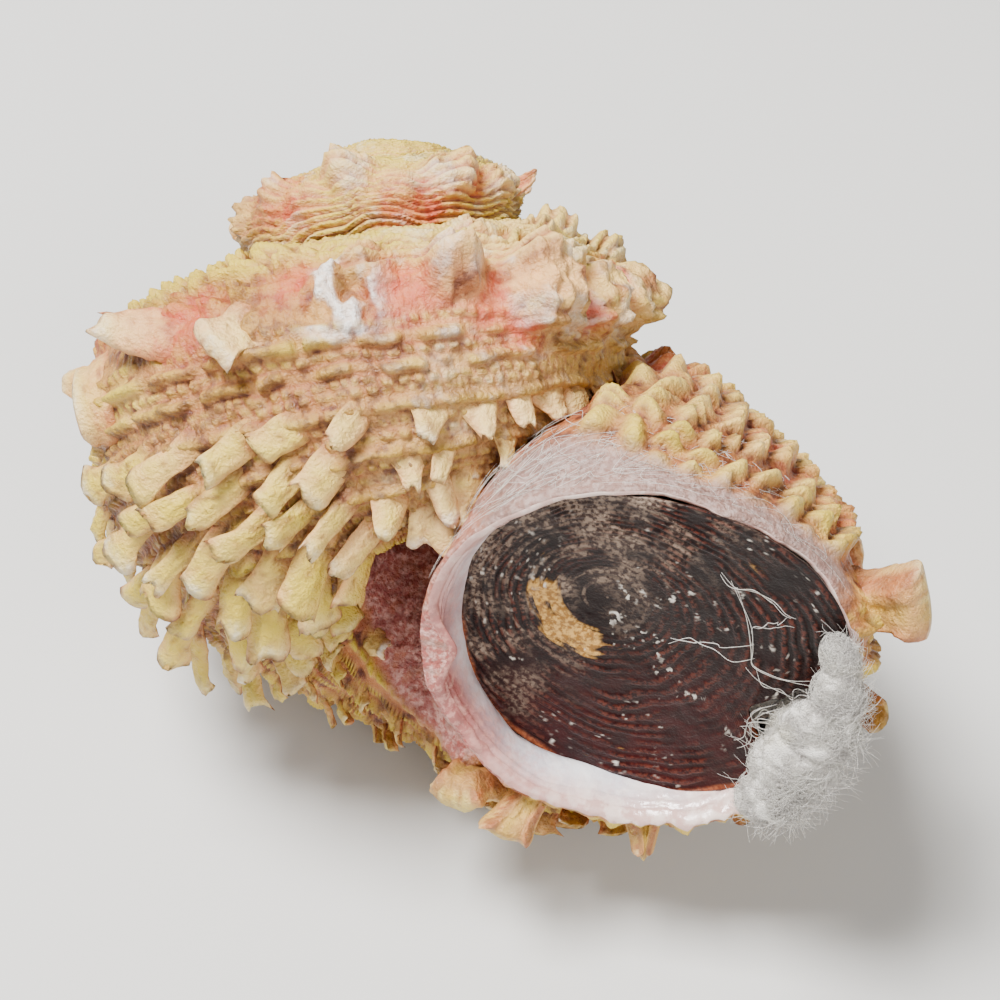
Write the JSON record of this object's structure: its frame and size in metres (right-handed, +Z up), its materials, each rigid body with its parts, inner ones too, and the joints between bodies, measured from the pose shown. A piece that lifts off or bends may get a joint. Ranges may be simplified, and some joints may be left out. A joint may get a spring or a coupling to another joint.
{
  "type": "seashell",
  "caption": "Dolphin snail shell with a scaly, spined body whorl and a blunt spire, its round mouth closed by a dark horny lid that a wad of cotton wool packs in place.",
  "frame": {"origin": "middle of the bounding box, on the floor the shell lies on", "axes": "+Z up as the shell lies, -Y towards the side its mouth faces, +X to the right seen from there"},
  "size_m": [0.061, 0.0454, 0.0499],
  "materials": {
    "shell_layers": "matt, scaly pink, cream and yellow outer layers, with nacre inside the mouth",
    "dark_horn": "dark red-brown horn, finely grooved, half glossy and dusty",
    "cotton_fibre": "loose white fibres"
  },
  "bodies": {
    "root": {"shell": "shell_layers", "operculum": "dark_horn", "cotton_wool": "cotton_fibre"}
  },
  "joints": []
}
